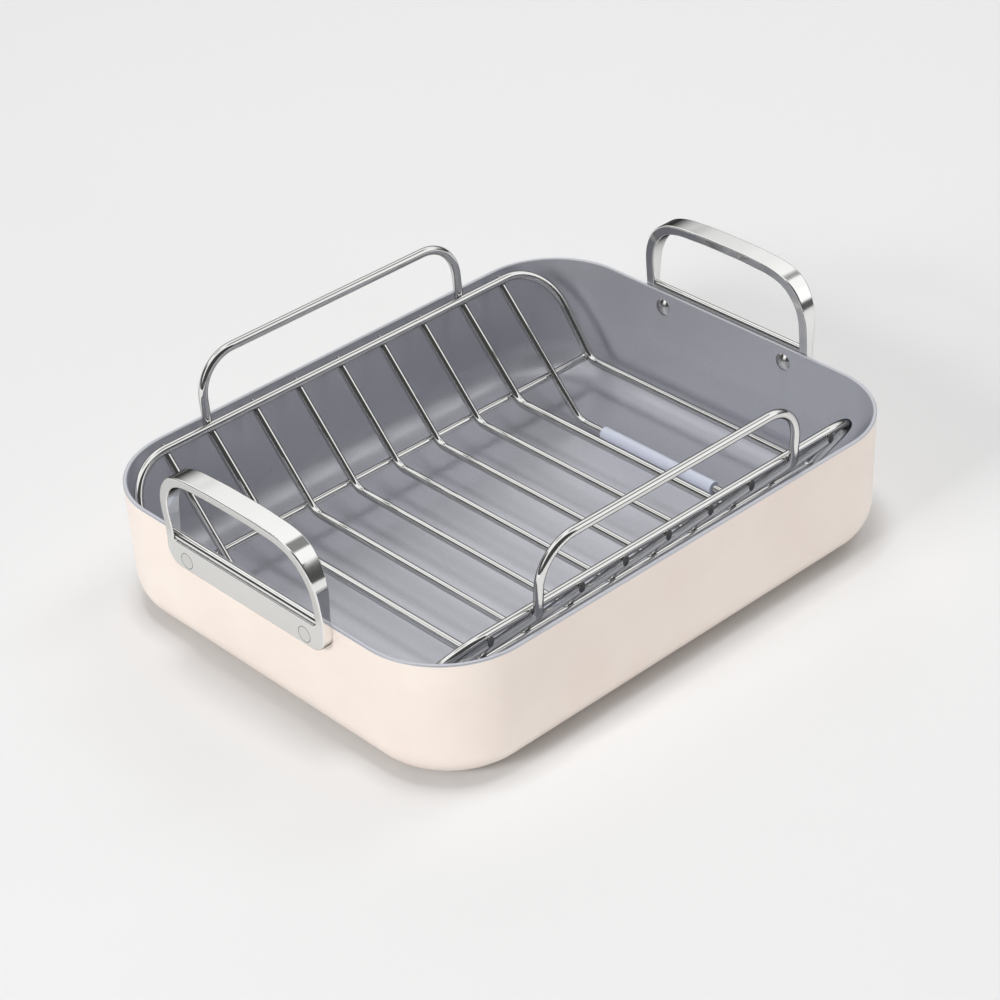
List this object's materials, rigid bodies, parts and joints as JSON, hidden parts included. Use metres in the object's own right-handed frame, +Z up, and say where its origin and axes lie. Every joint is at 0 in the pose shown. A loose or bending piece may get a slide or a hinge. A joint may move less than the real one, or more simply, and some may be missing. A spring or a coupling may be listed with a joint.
{
  "type": "roasting pan with rack",
  "caption": "Deep rectangular roasting pan with upright cast loop handles on its short sides, and a loose V-shaped wire rack that lifts out by its own wire handles.",
  "frame": {"origin": "on the table, under the middle of the pan", "axes": "+X along the long side towards the right handle, +Y across, +Z up"},
  "size_m": [0.4476, 0.3384, 0.1505],
  "materials": {
    "ceramic_outside": "cream ceramic coating, baked on over cast aluminium, satin gloss",
    "nonstick_coating": "grey-lavender sprayed non-stick coating with a fine metallic fleck, satin",
    "base_steel": "stamped stainless steel sheet, circular brushed",
    "cast_handle_steel": "cast stainless steel, tumbled and polished to a soft shine",
    "rivet_steel": "solid stainless steel rivet, polished",
    "rack_wire_steel": "stainless steel wire, welded and electropolished to a mirror",
    "sleeve_silicone": "translucent silicone tube, satin"
  },
  "bodies": {
    "pan": {"pan_body": "ceramic_outside", "inner_coating": "nonstick_coating", "base_plate": "base_steel", "pan_handle_left": "cast_handle_steel", "pan_handle_right": "cast_handle_steel", "handle_rivets_left": "rivet_steel", "handle_rivets_right": "rivet_steel"},
    "rack": {"rack_frame": "rack_wire_steel", "bend_rail_near": "rack_wire_steel", "bend_rail_far": "rack_wire_steel", "rack_handle_near": "rack_wire_steel", "rack_handle_far": "rack_wire_steel", "cross_wire_3": "rack_wire_steel", "cross_wire_4": "rack_wire_steel", "cross_wire_5": "rack_wire_steel", "cross_wire_6": "rack_wire_steel", "cross_wire_7": "rack_wire_steel", "foot_wire_left": "rack_wire_steel", "foot_wire_right": "rack_wire_steel", "foot_sleeve_left": "sleeve_silicone", "foot_sleeve_right": "sleeve_silicone"}
  },
  "joints": [
    {"name": "rack_lift", "type": "slide", "parent": "pan", "child": "rack", "axis": [0, 0, 1], "range_m": [0, 0.16]}
  ]
}
